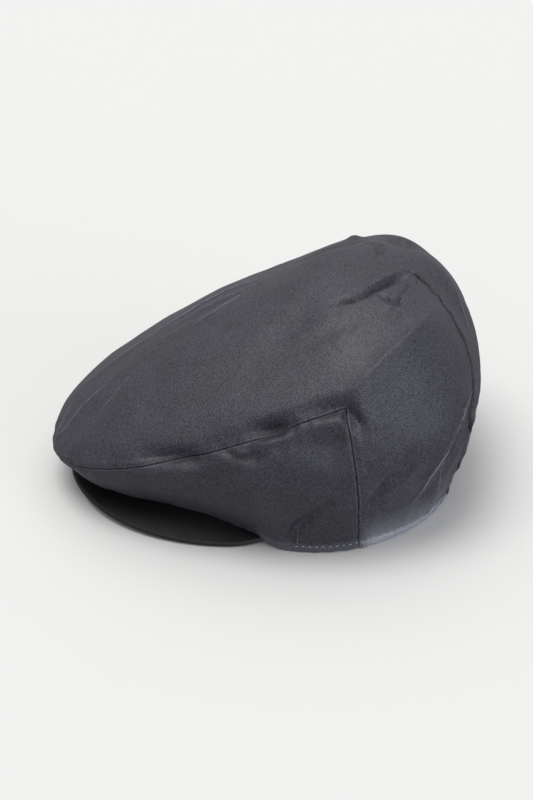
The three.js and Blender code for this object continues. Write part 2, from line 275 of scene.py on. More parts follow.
def section_columns(angle):
    """The section table's columns at any angle: a Catmull-Rom curve through the mirrored rows."""
    rows = np.array([row[1:] for row in CROWN_SECTIONS])
    rows = np.vstack([rows, rows[-2:0:-1]])
    place = np.mod(angle, 360) / SECTION_STEP
    row = np.floor(place).astype(int)
    f = (place - row)[:, None]
    before, at, after, beyond = (rows[(row + k) % len(rows)] for k in (-1, 0, 1, 2))
    value = 0.5 * (
        2 * at
        + (after - before) * f
        + (2 * before - 5 * at + 4 * after - beyond) * f**2
        + (3 * at - before - 3 * after + beyond) * f**3
    )
    return value.T


def peak_bottom(x):
    """Height of the peak's underside, which is highest in the middle."""
    return PEAK_CAMBER * (1 - (x / PEAK_HALF_WIDTH) ** 2)


def turned_from_front(angle):
    """Degrees from the front, 0 to 180, counted alike on both sides."""
    return np.abs(np.mod(angle + 180, 360) - 180)


def crown_point(angle, level):
    """Points of the smooth crown, as rows of x, y, z."""
    angle, level = np.broadcast_arrays(np.asarray(angle, float), np.asarray(level, float))
    hem_r, hem_z, shoulder_r, shoulder_z, flare, lean, side_full, top_full = section_columns(angle)
    turned = turned_from_front(angle)
    hem_z = hem_z * (1 - smoothstep(turned, OVER_PEAK_ANGLE, HEM_FLAT_ANGLE))
    turn, flare, lean = np.radians(angle), np.radians(flare), np.radians(lean)
    climb = np.clip(level, 0, 1)
    pull = np.hypot(shoulder_r - hem_r, shoulder_z - hem_z) * side_full
    side_r = hermite(hem_r, pull * np.sin(flare), shoulder_r, -pull * np.sin(lean), climb)
    side_z = hermite(hem_z, pull * np.cos(flare), shoulder_z, pull * np.cos(lean), climb)
    cross = np.clip(level - 1, 0, 1)
    pull = shoulder_r * top_full
    rise = shoulder_r * APEX_SLOPE * np.cos(turn)
    top_r = hermite(shoulder_r, -pull * np.sin(lean), 0, -shoulder_r, cross)
    top_z = hermite(shoulder_z, pull * np.cos(lean), APEX_Z, rise, cross)
    radius = np.where(level <= 1, side_r, top_r)
    height = np.where(level <= 1, side_z, top_z)
    y = AXIS_Y + APEX_Y * smoothstep(level, 0, 1) - radius * np.cos(turn)
    return np.stack([radius * np.sin(turn), y, height], axis=-1)


def crown_normal(angle, level):
    """The smooth crown's outward directions."""
    across = crown_point(angle + 0.5, level) - crown_point(angle - 0.5, level)
    up = crown_point(angle, np.minimum(level + 0.004, 1.998))
    up = up - crown_point(angle, np.clip(level - 0.004, 0, 1.99))
    normal = np.cross(across, up)
    normal[level >= 1.995] = (0, -APEX_SLOPE, 1)
    return normal / np.linalg.norm(normal, axis=1, keepdims=True)


def bell(distance, reach):
    """One at no distance, sinking smoothly to zero at the reach."""
    return np.cos(np.clip(distance / reach, 0, 1) * math.pi / 2) ** 2


def pole_free(distance, least=MM / 100):
    """A distance kept above zero, because everything meets at the apex."""
    return np.maximum(distance, least)


def path_on_crown(route, steps=7):
    """Points along a route on the smooth crown, and each one's share of the way."""
    legs = np.linspace(0, len(route) - 1, steps * (len(route) - 1) + 1)
    angle, level = (np.interp(legs, range(len(route)), [stop[k] for stop in route]) for k in (0, 1))
    return crown_point(angle, level), legs / legs[-1]


def along_path(points, normal, path, share):
    """Each point's distance from the path, signed by its side, and how far along the path it is."""
    distance = np.full(len(points), np.inf)
    side = np.ones(len(points))
    place = np.zeros(len(points))
    for k in range(len(path) - 1):
        line = path[k + 1] - path[k]
        f = np.clip((points - path[k]) @ line / (line @ line), 0, 1)
        away = points - path[k] - f[:, None] * line
        length = np.linalg.norm(away, axis=1)
        nearer = length < distance
        distance[nearer] = length[nearer]
        turn = np.einsum("ij,ij->i", np.cross(line, away[nearer]), normal[nearer])
        side[nearer] = np.where(turn < 0, -1, 1)
        place[nearer] = (share[k] + f * (share[k + 1] - share[k]))[nearer]
    return distance * side, place


def stray_creases(count, seed):
    """Short faint creases all over, as a cap gets from being folded and carried."""
    random = np.random.default_rng(seed)
    for k in range(count):
        angle, level = random.uniform(-180, 180), random.uniform(0.15, 1.85)
        turn, length = random.uniform(0, math.tau), random.uniform(0.1, 0.3)
        steps = [(f, random.uniform(-0.15, 0.15)) for f in (-0.5, 0, 0.5)]
        # The same length takes more degrees near the apex.
        spread = 57 / (0.3 + min(level, 2 - level))
        route = []
        for f, bend in steps:
            across = angle + spread * length * f * math.cos(turn + bend)
            up = level + length * f * math.sin(turn + bend)
            route.append((across, min(max(up, 0.08), 1.92)))
        if all((a[1] - 1) * (b[1] - 1) > 0.02 for a, b in zip(route, route[1:])):
            rise = random.choice((-0.3, 0.2))
            yield Fold(f"stray crease {k}", route, 5, rise, 0, random.uniform(0, 0.07))


# How far from a crease its pale line can reach, and how many stray creases there are
CREASE_REACH = 3.5 * MM
STRAY_CREASES = 30


def fold_relief(points, normal):
    """Height of all folds at each point, and the signed distance and strength of the nearest pale line."""
    height = np.zeros(len(points))
    line_distance = np.full(len(points), CREASE_REACH)
    line_strength = np.zeros(len(points))
    for fold in (*BROAD_FOLDS, *FINE_FOLDS, *stray_creases(STRAY_CREASES, seed=11)):
        path, share = path_on_crown(fold.route)
        reach = fold.width * MM / 2 * (1 + abs(fold.skew)) + CREASE_REACH
        near = np.all((points > path.min(0) - reach) & (points < path.max(0) + reach), axis=1)
        near = np.nonzero(near)[0]
        if not len(near):
            continue
        distance, place = along_path(points[near], normal[near], path, share)
        half = fold.width * MM / 2 * (1 + fold.skew * np.sign(distance))
        ends = np.sin(math.pi * (0.1 + 0.8 * place))
        height[near] += fold.rise * MM * ends * bell(np.abs(distance), half)
        strength = fold.line * np.sin(math.pi * place) ** 0.6
        strength *= 1 - smoothstep(np.abs(distance), 0.6 * CREASE_REACH, CREASE_REACH)
        stronger = strength > line_strength[near]
        line_strength[near[stronger]] = strength[stronger]
        line_distance[near[stronger]] = distance[stronger]
    return height, line_distance, line_strength


def noise_at(points, scale, seed):
    """Smooth noise from about -1 to 1 at each point, with features of the given size."""
    shift = Vector((seed * 17.3, seed * 5.9, seed * 11.1))
    return np.array([noise.noise(Vector(p) / scale + shift) for p in points])


# The dart leaves the middle of the back: its head leans right, its foot stands on the wearer's left.
DART_LEVELS = (0, 0.15, 0.3, 0.45, 0.6, 0.73, 0.85, 0.97, 1.07, 1.16, 1.27)
DART_ANGLES = (163, 159.5, 156.5, 155, 156, 161.5, 168.5, 172.5, 175, 180, 186)
DART_ROUNDING = (-0.08, -0.04, 0, 0.04, 0.08)


def dart_angle(level):
    """The back dart's angle at each level, with the bends between its stops rounded."""
    around = [np.interp(level + shift, DART_LEVELS, DART_ANGLES) for shift in DART_ROUNDING]
    return sum(around) / len(DART_ROUNDING)


def seam_distances(angle, level):
    """Metres from each point to the hem, the side seam, the upright seam and the back dart.
    Each is signed: positive above the hem or side seam, behind the upright seam, right of the dart."""
    here = crown_point(angle, level)
    per_degree = np.linalg.norm(crown_point(angle + 0.5, level) - here, axis=1) / 0.5
    low = np.clip(level - 0.01, 0, 1.98)
    per_level = np.linalg.norm(crown_point(angle, low + 0.01) - crown_point(angle, low), axis=1) / 0.01
    turned = turned_from_front(angle)
    hem = level * per_level
    beyond = np.clip(turned - REAR_SEAM_ANGLE, 0, None) * per_degree
    side = (level - 1) * per_level
    side = np.where(beyond > 0, np.hypot(side, beyond), side)
    upright = (turned - REAR_SEAM_ANGLE) * per_degree
    over = np.clip(level - 1, 0, None) * per_level
    upright = np.where(over > 0, np.copysign(np.hypot(upright, over), upright), upright)
    dart = (np.mod(angle, 360) - dart_angle(level)) * per_degree
    past = np.clip(level - BACK_DART_TOP, 0, None) * per_level
    dart = np.where(past > 0, np.copysign(np.hypot(dart, past), dart), dart)
    return hem, side, upright, dart


# Sewn relief: how deep the cloth dives into a seam and from how far, and how high the turned allowance,
# the hem's fold and the rows of stitches make it beside them
SEAM_DIVE = (1.0 * MM, 1.0 * MM)
DART_DIVE = (2.6 * MM, 0.75 * MM)
ALLOWANCE_RISE = 0.5 * MM
ALLOWANCE_WIDTH = 6.5 * MM
HEM_FOLD_WIDTH = 7.5 * MM
HEM_FOLD_RISE = 0.6 * MM
HEM_ROLL = 0.9 * MM
STITCH_SINK = 0.3 * MM
STITCH_REACH = 0.9 * MM
ROW_OFF_SEAM = 1.9 * MM
ROW_OFF_HEM = 5.2 * MM
THREAD_LIFT = 0.12 * MM

# Gathers: their depth, the distance from one to the next, and how far they run into the cloth. Those of
# the drawn-in back begin and come to the full at the given degrees from the front.
PUCKER_DEPTH = 0.5 * MM
PUCKER_PITCH = 9 * MM
PUCKER_REACH = 9 * MM
GATHER_DEPTH = 0.3 * MM
GATHER_PITCH = 11 * MM
GATHER_REACH = 16 * MM
GATHERS_BEGIN, GATHERS_FULL = 126, 150
HEM_BACK_RADIUS = 84.5 * MM
TYPICAL_RADIUS = 100 * MM


def allowance(distance):
    """The raised strip of turned cloth on one side of a seam, with the dip that its stitches pull."""
    edge = smoothstep(distance, 0.2 * MM, 1.1 * MM)
    far = 1 - smoothstep(distance, ALLOWANCE_WIDTH - 1.4 * MM, ALLOWANCE_WIDTH)
    row = bell(np.abs(distance - ROW_OFF_SEAM), STITCH_REACH)
    return ALLOWANCE_RISE * edge * far - STITCH_SINK * row


def sewn_relief(angle, level):
    """Height of the seams, their turned allowances and the hem fold."""
    hem, side, upright, dart = seam_distances(angle, level)
    relief = np.zeros(len(angle))
    for seam, (depth, reach) in ((side, SEAM_DIVE), (upright, SEAM_DIVE), (dart, DART_DIVE)):
        relief -= depth * np.exp(-((np.abs(seam) / reach) ** 1.5))
    turned = turned_from_front(angle)
    relief += np.where((side > 0) & (turned <= REAR_SEAM_ANGLE), allowance(side), 0)
    relief += np.where((upright > 0) & (level <= 1), allowance(upright), 0)
    relief += np.where(dart > 0, allowance(dart), 0)
    folded = HEM_FOLD_RISE * (1 - smoothstep(hem, HEM_FOLD_WIDTH - 1.2 * MM, HEM_FOLD_WIDTH))
    folded -= STITCH_SINK * bell(np.abs(hem - ROW_OFF_HEM), STITCH_REACH)
    folded -= HEM_ROLL * (1 - smoothstep(hem, 0, 1.4 * MM))
    return relief + folded * smoothstep(turned, OVER_PEAK_ANGLE, HEM_FLAT_ANGLE)


def puckers(angle, level, points):
    """Small gathers that run off the stitched seams into the cloth, and the back's drawn-in hem."""
    hem, side, upright, dart = seam_distances(angle, level)
    wander = noise_at(points, 0.03, 3)
    strength = PUCKER_DEPTH * (0.3 + 0.7 * np.clip(noise_at(points, 0.022, 4) + 0.4, 0, 1))
    turned = np.radians(np.mod(angle + 180, 360) - 180)
    round_seam = math.tau * turned * TYPICAL_RADIUS / PUCKER_PITCH + 2.6 * wander
    up_seam = math.tau * level * TYPICAL_RADIUS / PUCKER_PITCH + 2.6 * wander
    height = np.sin(round_seam) * np.exp(-np.abs(side) / PUCKER_REACH)
    height += np.sin(up_seam) * np.exp(-np.abs(upright) / PUCKER_REACH)
    height += np.sin(up_seam) * np.exp(-np.abs(dart) / PUCKER_REACH)
    height += 0.6 * np.sin(0.8 * round_seam) * np.exp(-hem / PUCKER_REACH)
    behind = smoothstep(np.degrees(np.abs(turned)), GATHERS_BEGIN, GATHERS_FULL)
    gather = np.sin(math.tau * turned * HEM_BACK_RADIUS / GATHER_PITCH + 3 * wander)
    return strength * height + GATHER_DEPTH * behind * gather * np.exp(-hem / GATHER_REACH)


def soft_waves(points):
    """The broad unevenness of waxed cloth that has been worn and stored."""
    stretched = points * np.array([1.0, 0.6, 1.0])
    broad = noise_at(stretched, 0.045, 1) * 0.9 * MM
    middle = noise_at(points, 0.02, 2) * 0.45 * MM
    ridged = (0.2 - np.abs(noise_at(stretched, 0.03, 6))) * 0.8 * MM
    return broad + middle + ridged


# Painted sheen in a pale band round the hem behind the side panels, in degrees from the front; and wax
# that has dried pale, faintly on the hem's fold and every raised seam edge
PAINTED_SHEEN_AROUND = (106, 118, 138, 172)
BLOOM_ELSEWHERE = 0.12
PAINTED_SHEEN_HEIGHT = 34 * MM


def wax_wear_and_painted_sheen(angle, level):
    """How pale each point is, from 0 to 1: painted sheen on the hem band, dried wax on folds and seam
    edges.
    """
    hem, side, upright, _ = seam_distances(angle, level)
    turned = turned_from_front(angle)
    starts, full, fades, ends = PAINTED_SHEEN_AROUND
    around = smoothstep(turned, starts, full) * (1 - smoothstep(turned, fades, ends))
    fold = 1 - smoothstep(hem, HEM_FOLD_WIDTH - 2.2 * MM, HEM_FOLD_WIDTH)
    painted_sheen = (1 - smoothstep(hem, 0, PAINTED_SHEEN_HEIGHT)) ** 1.5
    edge = np.zeros(len(angle))
    for seam in (side, upright):
        edge = np.maximum(edge, bell(np.abs(np.abs(seam) - 0.9 * MM), 0.6 * MM))
    fold_behind = fold * smoothstep(turned, OVER_PEAK_ANGLE, HEM_FLAT_ANGLE)
    faint = BLOOM_ELSEWHERE * np.maximum(fold_behind, edge)
    return np.maximum(around * (0.5 * fold + 0.4 * painted_sheen), faint)


def dart_distance(angle, level):
    """Signed distance to the back dart, held within two centimetres so that it runs smoothly."""
    return np.clip(seam_distances(angle, level)[3], -20 * MM, 20 * MM)


def cloth_points(angle, level):
    """Outer surface of the cloth, its normals, and the pale crease line's distance and strength there."""
    smooth = crown_point(angle, level)
    normal = crown_normal(angle, level)
    height, line_distance, line_strength = fold_relief(smooth, normal)
    # Folds and waves fade out over the lowest few millimetres, because the hem stands on the floor.
    free = smoothstep(level, 0, 0.06)
    height = height * free + sewn_relief(angle, level)
    height += free * soft_waves(smooth) + puckers(angle, level, smooth)
    points = smooth + normal * height[:, None]
    points[:, 2] = np.maximum(points[:, 2], 0)
    return points, normal, line_distance, line_strength


# Distances from a seam at which the mesh has its close lines, in millimetres
SEAM_LINES = (0, 0.4, 0.8, 1.2, 1.8, 2.6, 3.6, 4.8, 5.8, 6.8)


def lines_between(length, step, close_start=True, close_end=True):
    """Places from 0 to 1 for mesh lines over a length, close ones at the seams, with an even number
    of cells between them."""
    close = np.array(SEAM_LINES) * MM
    start = close if close_start else close[:1]
    end = close if close_end else close[:1]
    middle = length - start[-1] - end[-1]
    cells = math.ceil(middle / step)
    cells += (cells + len(start) + len(end)) % 2
    between = start[-1] + middle * np.arange(1, cells) / cells
    return np.concatenate([start, between, length - end[::-1]]) / length


# Typical lengths of cloth, which set how many mesh lines go over each
TOP_LENGTH = 150 * MM
SIDE_LENGTH = 100 * MM
FRONT_HALF_ROUND = 200 * MM
BACK_HALF_ROUND = 125 * MM


def columns_between(first, last, length, step):
    """Angles of the mesh's columns from one seam to the next."""
    return first + (last - first) * lines_between(length, step)


# How many degrees from the middle of the back the mesh's columns are turned
SHEAR_REACH = 65


def shear_to_dart(angle, level):
    """Turns the mesh's columns near the middle of the back so that they run along the dart."""
    from_back = np.mod(angle, 360) - 180
    return angle + (dart_angle(level) - 180) * bell(np.abs(from_back), SHEAR_REACH)


def metres_per_step(angle, level, upwards=1):
    """How many metres one degree and one whole level are at each point, measured up or down from it."""
    here = crown_point(angle, level)
    per_degree = np.linalg.norm(crown_point(angle + 1, level) - here, axis=1)
    per_level = np.linalg.norm(crown_point(angle, level + 0.01 * upwards) - here, axis=1) / 0.01
    return pole_free(per_degree), pole_free(per_level)


def off_seam(angle, level, angle_sign, level_sign):
    """Moves grid points off a seam by half the seam gap, along the angle or the level."""
    per_degree, per_level = metres_per_step(angle, level, np.where(level_sign == 0, 1, level_sign))
    half = SEAM_GAP / 2
    return angle + angle_sign * half / per_degree, level + level_sign * half / per_level


def blocks(columns, rows, keep, closed):
    """Blocks of two by two cells, each as the 3 by 3 (column, row) places of its corners and middles."""
    last = columns if closed else columns - 1
    for c in range(0, last, 2):
        for r in range(0, rows - 1, 2):
            if keep(c, r):
                yield [[((c + i) % columns, r + j) for j in range(3)] for i in range(3)]


# What the cloth's mesh tells its material at each point
CLOTH_MARKS = ("crease_distance", "crease_strength", "wax_wear_and_painted_sheen", "dart_distance")


def add_object(name, data):
    """Links a new object at the origin."""
    added = bpy.data.objects.new(name, data)
    bpy.context.collection.objects.link(added)
    return added


def build_wall(name, grid, numbers, cells, pole=None, pole_row=0):
    """A closed wall of cloth. The outer surface has every grid point, the inner one every second."""
    angle, level = np.array(grid).T
    outer, normal, line_distance, line_strength = cloth_points(angle, level)
    inner = outer - normal * WALL
    # The wall's lower edge is level where it stands on the floor, and square to the cloth over the peak.
    at_hem = level < 1e-6
    flare = section_columns(angle)[4]
    square = smoothstep(flare, 25, 60)
    inner[at_hem, 2] = (outer[:, 2] + (inner[:, 2] - outer[:, 2]) * square)[at_hem]
    count = len(outer)
    faces = []
    inside = []
    edges = {}
    for block in cells:
        n = [[numbers[place] for place in column] for column in block]
        for i in (0, 1):
            for j in (0, 1):
                faces.append((n[i][j], n[i + 1][j], n[i + 1][j + 1], n[i][j + 1]))
        corners = (n[0][0], n[2][0], n[2][2], n[0][2])
        inside.append(tuple(c + count for c in reversed(corners)))
        for k, middle in enumerate((n[1][0], n[2][1], n[1][2], n[0][1])):
            edges[corners[k], corners[(k + 1) % 4]] = middle
        if pole is not None and block[0][2][1] == pole_row:
            faces += [(n[0][2], n[1][2], pole), (n[1][2], n[2][2], pole)]
            inside.append((pole + count, n[2][2] + count, n[0][2] + count))
            edges[n[0][2], n[2][2]] = n[1][2]
    rim = [
        (b, middle, a, a + count, b + count)
        for (a, b), middle in sorted(edges.items())
        if (b, a) not in edges
    ]
    used = sorted({corner for face in (*faces, *inside, *rim) for corner in face})
    place = {corner: k for k, corner in enumerate(used)}
    mesh = bpy.data.meshes.new(name)
    points = np.vstack([outer, inner])[used]
    mesh.from_pydata(points.tolist(), [], [tuple(place[c] for c in f) for f in (*faces, *inside, *rim)])
    marks = (line_distance, line_strength, wax_wear_and_painted_sheen(angle, level), dart_distance(angle, level))
    for mark, value in zip(CLOTH_MARKS, marks):
        both = np.concatenate([value, value if mark == "dart_distance" else 0 * value])[used]
        mesh.attributes.new(mark, "FLOAT", "POINT").data.foreach_set("value", both.astype(np.float32))
    mesh.validate()
    mesh.shade_smooth()
    mesh.set_sharp_from_angle(angle=math.radians(50))
    return add_object(name, mesh)


def material_named(name):
    """A new material with an empty node tree."""
    material = bpy.data.materials.new(name)
    material.use_nodes = True
    material.node_tree.nodes.clear()
    return material


def linear(hex_colour):
    """An sRGB hex colour as linear red, green, blue and alpha."""
    parts = [int(hex_colour[k : k + 2], 16) / 255 for k in (1, 3, 5)]
    return (*(c / 12.92 if c <= 0.04045 else ((c + 0.055) / 1.055) ** 2.4 for c in parts), 1)


def add_node(tree, kind, inputs=None, **settings):
    """Adds a node, sets its properties, and fills or links its inputs by name or number."""
    node = tree.nodes.new(kind)
    for key, value in settings.items():
        setattr(node, key, value)
    for key, value in (inputs or {}).items():
        if isinstance(value, bpy.types.NodeSocket):
            tree.links.new(value, node.inputs[key])
        else:
            node.inputs[key].default_value = value
    return node


def crease_lines(tree, place, distance, strength):
    """Zero to one along the pale lines that bent wax leaves, broken up as dry wax is."""
    away = add_node(tree, "ShaderNodeMath", {0: distance}, operation="ABSOLUTE").outputs[0]
    band = add_node(
        tree,
        "ShaderNodeMapRange",
        {"Value": away, "From Min": 0.75 * MM, "From Max": 0.1 * MM},
        interpolation_type="SMOOTHSTEP",
    ).outputs["Result"]
    broken = add_node(
        tree, "ShaderNodeTexNoise", {"Vector": place, "Scale": 1 / (4 * MM), "Detail": 2.0}
    ).outputs["Fac"]
    kept = add_node(
        tree, "ShaderNodeMapRange", {"Value": broken, "From Min": 0.22, "From Max": 0.5}
    ).outputs["Result"]
    full = add_node(tree, "ShaderNodeMath", {0: band, 1: kept}, operation="MULTIPLY").outputs[0]
    return add_node(tree, "ShaderNodeMath", {0: full, 1: strength}, operation="MULTIPLY").outputs[0]


# The dart's open edge lies in its own shade: that colour, half the dark line's width, and how far the line
# is moved to the wearer's right
SLOT_DARK = "#0d0d10"
SLOT_HALF = 1.2 * MM
SLOT_SHIFT = 0.5 * MM

# How strongly the speckle and the mottling set the cloth's tone
GRAIN_SHARE = 9.0
MOTTLE_SHARE = 0.9

# The real yarns are 0.35 mm apart, too fine to show, so the speckle is drawn at 0.8 mm.
GRAIN_SIZE = 0.8 * MM
MOTTLE_SIZE = 32 * MM


def waxed_cotton(name, dark, light, wax, specular=0.6):
    """Waxed cotton: a tight weave filled with wax. It looks satin and slightly mottled, with a speckle
    where yarns break the surface, and paler lines where the wax has cracked along a crease."""
    material = material_named(name)
    tree = material.node_tree
    place = add_node(tree, "ShaderNodeTexCoord").outputs["Object"]
    crease_distance, crease_strength, wear_and_sheen, from_dart = (
        add_node(tree, "ShaderNodeAttribute", attribute_name=mark).outputs["Fac"] for mark in CLOTH_MARKS
    )
    mottle = add_node(
        tree,
        "ShaderNodeTexNoise",
        {"Vector": place, "Scale": 1 / MOTTLE_SIZE, "Detail": 5.0, "Roughness": 0.62, "Distortion": 0.8},
    ).outputs["Fac"]
    grain = add_node(
        tree,
        "ShaderNodeTexNoise",
        {"Vector": place, "Scale": 1 / GRAIN_SIZE, "Detail": 3.0, "Roughness": 0.85},
    ).outputs["Fac"]
    grainy = add_node(tree, "ShaderNodeMath", {0: grain, 1: GRAIN_SHARE}, operation="MULTIPLY").outputs[0]
    blurry = add_node(tree, "ShaderNodeMath", {0: mottle, 1: MOTTLE_SHARE}, operation="MULTIPLY").outputs[0]
    tone = add_node(tree, "ShaderNodeMath", {0: grainy, 1: blurry}, operation="ADD").outputs[0]
    middle = (GRAIN_SHARE + MOTTLE_SHARE) / 2
    shade = add_node(
        tree, "ShaderNodeMapRange", {"Value": tone, "From Min": middle - 0.5, "From Max": middle + 0.5}
    ).outputs["Result"]
    lines = crease_lines(tree, place, crease_distance, crease_strength)
    speckle = add_node(
        tree,
        "ShaderNodeMapRange",
        {"Value": grain, "From Min": 0.3, "From Max": 0.7, "To Min": 0.4, "To Max": 1.5},
    ).outputs["Result"]
    patchy = add_node(tree, "ShaderNodeMath", {0: wear_and_sheen, 1: speckle}, operation="MULTIPLY").outputs[0]
    cracked = add_node(tree, "ShaderNodeMath", {0: lines, 1: 0.6}, operation="MULTIPLY").outputs[0]
    pale = add_node(tree, "ShaderNodeMath", {0: cracked, 1: patchy}, operation="MAXIMUM").outputs[0]
    moved = add_node(tree, "ShaderNodeMath", {0: from_dart, 1: SLOT_SHIFT}, operation="SUBTRACT").outputs[0]
    off_slot = add_node(tree, "ShaderNodeMath", {0: moved}, operation="ABSOLUTE").outputs[0]
    slot = add_node(
        tree,
        "ShaderNodeMapRange",
        {"Value": off_slot, "From Min": SLOT_HALF, "From Max": 0.55 * SLOT_HALF},
        interpolation_type="SMOOTHSTEP",
    ).outputs["Result"]
    # Pale wax is mixed in on cracked creases and seam edges, and as painted sheen on the hem band and the
    # peak's rim; the slot's dark colour is painted shade in the dart.
    colour = dark
    for share, over in ((shade, light), (pale, wax), (slot, linear(SLOT_DARK))):
        mixed = add_node(
            tree, "ShaderNodeMix", {"Factor": share, "A": colour, "B": over}, data_type="RGBA"
        )
        colour = mixed.outputs["Result"]
    rough = add_node(
        tree,
        "ShaderNodeMapRange",
        {"Value": mottle, "From Min": 0.3, "From Max": 0.7, "To Min": 0.44, "To Max": 0.56},
    )
    woven = add_node(tree, "ShaderNodeMath", {0: grain, 1: 0.6}, operation="MULTIPLY").outputs[0]
    relief = add_node(tree, "ShaderNodeMath", {0: woven, 1: lines}, operation="ADD").outputs[0]
    bump = add_node(tree, "ShaderNodeBump", {"Height": relief, "Strength": 1.0, "Distance": 0.35 * MM})
    shader = add_node(
        tree,
        "ShaderNodeBsdfPrincipled",
        {
            "Base Color": colour,
            "Roughness": rough.outputs["Result"],
            "Normal": bump.outputs["Normal"],
            "Specular IOR Level": specular,
        },
    )
    add_node(tree, "ShaderNodeOutputMaterial", {"Surface": shader.outputs["BSDF"]})
    return material


def matte_paper():
    """The floor's seamless paper: pale and matt, so that it shows no reflection and no edge."""
    material = material_named("matte_paper")
    tree = material.node_tree
    shader = add_node(
        tree, "ShaderNodeBsdfPrincipled", {"Base Color": linear(FLOOR_COLOUR), "Roughness": 0.95}
    )
    add_node(tree, "ShaderNodeOutputMaterial", {"Surface": shader.outputs["BSDF"]})
    return material


def sewing_thread(name, colour):
    """Spun polyester thread: matt, with a faint lengthwise unevenness from its twist."""
    material = material_named(name)
    tree = material.node_tree
    place = add_node(tree, "ShaderNodeTexCoord").outputs["Object"]
    twist = add_node(
        tree, "ShaderNodeTexNoise", {"Vector": place, "Scale": 1 / (0.5 * MM), "Detail": 1.0}
    )
    bump = add_node(tree, "ShaderNodeBump", {"Height": twist.outputs["Fac"], "Distance": 0.1 * MM})
    shader = add_node(
        tree,
        "ShaderNodeBsdfPrincipled",
        {"Base Color": colour, "Roughness": 0.7, "Normal": bump.outputs["Normal"]},
    )
    add_node(tree, "ShaderNodeOutputMaterial", {"Surface": shader.outputs["BSDF"]})
    return material


def stitch_row_tree():
    """Lays one stitch at every pitch along each path, lying on the cloth."""
    tree = bpy.data.node_groups.new("stitch_row", "GeometryNodeTree")
    socket = tree.interface.new_socket
    socket("Path", in_out="INPUT", socket_type="NodeSocketGeometry")
    for name in ("Pitch", "Stitch Length", "Thread Width"):
        socket(name, in_out="INPUT", socket_type="NodeSocketFloat")
    socket("Thread", in_out="INPUT", socket_type="NodeSocketMaterial")
    socket("Stitches", in_out="OUTPUT", socket_type="NodeSocketGeometry")
    given = add_node(tree, "NodeGroupInput").outputs
    curve = add_node(tree, "GeometryNodeMeshToCurve", {"Mesh": given["Path"]})
    spaced = add_node(
        tree,
        "GeometryNodeResampleCurve",
        {"Curve": curve.outputs["Curve"], "Length": given["Pitch"]},
        mode="LENGTH",
    )
    tangent = add_node(tree, "GeometryNodeInputTangent")
    up = add_node(
        tree, "GeometryNodeInputNamedAttribute", {"Name": "cloth_normal"}, data_type="FLOAT_VECTOR"
    )
    turn = add_node(
        tree,
        "FunctionNodeAxesToRotation",
        {"Primary Axis": up.outputs["Attribute"], "Secondary Axis": tangent.outputs["Tangent"]},
        primary_axis="Z",
        secondary_axis="X",
    )
    ball = add_node(tree, "GeometryNodeMeshUVSphere", {"Segments": 8, "Rings": 6, "Radius": 0.5})
    size = add_node(
        tree,
        "ShaderNodeCombineXYZ",
        {"X": given["Stitch Length"], "Y": given["Thread Width"], "Z": given["Thread Width"]},
    )
    stitch = add_node(
        tree, "GeometryNodeTransform", {"Geometry": ball.outputs["Mesh"], "Scale": size.outputs["Vector"]}
    )
    laid = add_node(
        tree,
        "GeometryNodeInstanceOnPoints",
        {
            "Points": spaced.outputs["Curve"],
            "Instance": stitch.outputs["Geometry"],
            "Rotation": turn.outputs["Rotation"],
        },
    )
    real = add_node(tree, "GeometryNodeRealizeInstances", {"Geometry": laid.outputs["Instances"]})
    smooth = add_node(tree, "GeometryNodeSetShadeSmooth", {"Geometry": real.outputs["Geometry"]})
    done = add_node(
        tree,
        "GeometryNodeSetMaterial",
        {"Geometry": smooth.outputs["Geometry"], "Material": given["Thread"]},
    )
    add_node(tree, "NodeGroupOutput", {"Stitches": done.outputs["Geometry"]})
    return tree


def length_setting(name, description, default, least):
    return FloatProperty(
        name=name, description=description, default=default, min=least, subtype="DISTANCE", unit="LENGTH"
    )


def colour_setting(name, description, default):
    return FloatVectorProperty(
        name=name, description=description, default=linear(default), size=4, min=0, max=1, subtype="COLOR"
    )


class CapSettings(bpy.types.PropertyGroup):
    """The sizes and colours that a user would change"""

    mesh_step: length_setting(
        "Mesh Step", "Distance between the crown's mesh lines away from its seams", 1.45 * MM, 0.5 * MM
    )
    stitch_pitch: length_setting("Stitch Pitch", "From one stitch to the next", 4.0 * MM, 1 * MM)
    stitch_length: length_setting("Stitch Length", "Thread that shows in a stitch", 1.4 * MM, 0.5 * MM)
    thread_width: length_setting("Thread Width", "Thickness of the sewing thread", 0.5 * MM, 0.1 * MM)
    crown_wax: colour_setting("Crown Wax", "Dark wax between the crown's yarns", "#0f0f13")
    top_yarn: colour_setting("Top Yarn", "Yarns of the top panel", "#4a4954")
    # The sides' yarn is the top's yarn made darker: painted shade, as less light falls on the sides
    side_yarn_painted_shade: colour_setting("Side Yarn", "Yarns of the side panels", "#403f4a")
    # The pale wax shows on creases and seam edges, and is also painted sheen on the hem band and the peak's
    # rim
    pale_wax_and_painted_sheen: colour_setting("Dried Wax", "Wax that dried pale at the hem and on creases", "#aeaebb")
    hem_thread: colour_setting("Hem Thread", "Thread round the hem", "#c4c4d2")
    seam_thread: colour_setting("Seam Thread", "Thread beside the seams", "#33333a")


def finish_piece(piece, node, material):
    """Gives a piece its material, and puts it on the cap's body in place of its plain CAD node."""
    piece.data.materials.append(material)
    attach(piece, "root")
    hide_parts(node)


